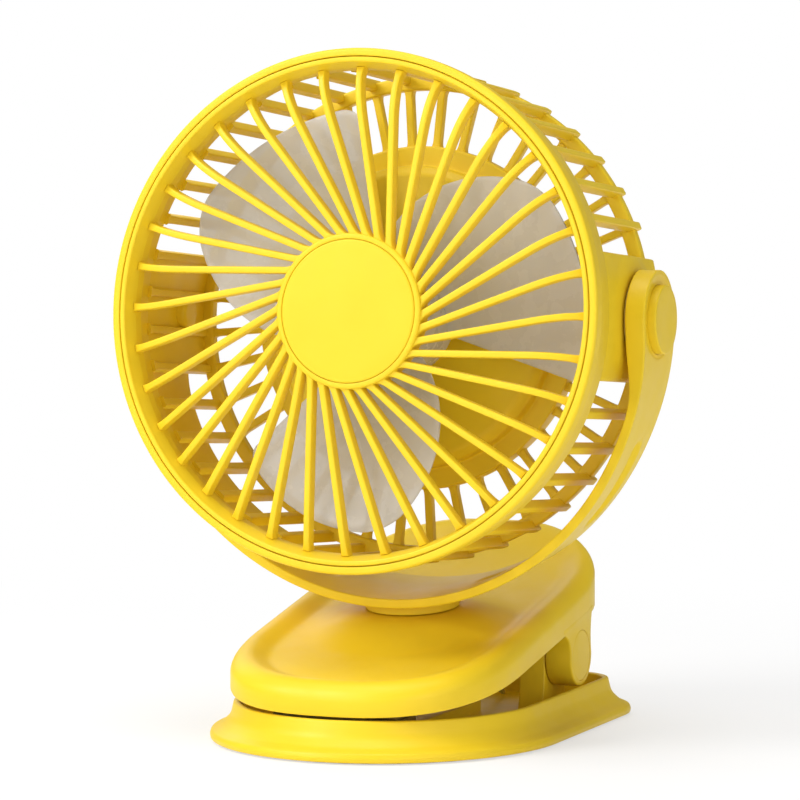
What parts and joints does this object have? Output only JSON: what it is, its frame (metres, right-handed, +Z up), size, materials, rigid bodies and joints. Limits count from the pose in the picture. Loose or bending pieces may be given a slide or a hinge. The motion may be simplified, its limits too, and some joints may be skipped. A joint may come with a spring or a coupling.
{
  "type": "clip fan",
  "caption": "Small cordless clip fan: a drum with a swirled front grille in a swivelling yoke, on a spring clip that also stands on a table",
  "frame": {"origin": "on the ground, directly under the tilt pivots", "axes": "+Z up, -Y the way the fan blows at rest, +X to the right of someone looking at its front"},
  "size_m": [0.1594, 0.14, 0.194],
  "materials": {
    "yellow_plastic": "satin moulded plastic, bright yellow",
    "smoke_blades": "translucent smoke-grey moulding",
    "steel": "plain zinc-plated steel",
    "motor_steel": "drawn nickel-plated steel can",
    "sole_rubber": "soft non-slip rubber sheet",
    "grip_rubber": "soft rubber",
    "nylon": "natural nylon",
    "battery_foil": "laminated foil pouch",
    "board_green": "glass-fibre board with green lacquer",
    "dark_plastic": "black moulded plastic",
    "clear_lens": "frosted clear light pipe"
  },
  "bodies": {
    "base": {"lower_jaw": "yellow_plastic", "sole_pad": "sole_rubber", "hinge_pin": "steel", "clip_spring": "steel", "grip_pad_lower": "grip_rubber"},
    "clip": {"upper_jaw": "yellow_plastic", "hinge_cap_right": "yellow_plastic", "hinge_cap_left": "yellow_plastic", "grip_pad_upper": "grip_rubber"},
    "fork": {"yoke": "yellow_plastic", "swivel_retainer": "nylon", "swivel_screw": "steel", "pivot_cap_right": "yellow_plastic", "pivot_screw_right": "steel", "friction_washer_right": "nylon", "pivot_cap_left": "yellow_plastic", "pivot_screw_left": "steel", "friction_washer_left": "nylon"},
    "head": {"drum_body": "yellow_plastic", "front_grille": "yellow_plastic", "hub_badge": "yellow_plastic", "motor": "motor_steel", "motor_screw_1": "steel", "motor_screw_2": "steel", "rear_cover": "yellow_plastic", "battery": "battery_foil", "control_board": "board_green", "speed_switch": "dark_plastic", "charging_socket": "motor_steel", "indicator_lens": "clear_lens", "cover_screw_1": "steel", "cover_screw_2": "steel", "cover_screw_3": "steel"},
    "rotor": {"blade_rotor": "smoke_blades", "motor_shaft": "steel"},
    "button": {"speed_button": "yellow_plastic"}
  },
  "joints": [
    {"name": "clip_hinge", "type": "hinge", "parent": "base", "child": "clip", "pos_m": [0, 0.0381, 0.0196], "axis": [-1, 0, 0], "range_deg": [0, 28], "stiffness_Nm_per_rad": 1.2, "springref_deg": -20.05, "deforming": ["clip_spring"]},
    {"name": "swivel", "type": "hinge", "parent": "clip", "child": "fork", "pos_m": [0, 0.00957, 0.03524], "axis": [0, -0.1132, 0.9936], "continuous": true},
    {"name": "head_tilt", "type": "hinge", "parent": "fork", "child": "head", "pos_m": [0, 0, 0.1192], "axis": [-1, 0, 0], "range_deg": [-20, 90]},
    {"name": "blade_spin", "type": "hinge", "parent": "head", "child": "rotor", "pos_m": [0, 0, 0.1192], "axis": [0, -0.9978, 0.0663], "continuous": true},
    {"name": "button_press", "type": "slide", "parent": "head", "child": "button", "axis": [0, -0.9978, 0.0663], "range_m": [0, 0.0006], "stiffness_N_per_m": 1500, "springref_m": -0.0004}
  ]
}
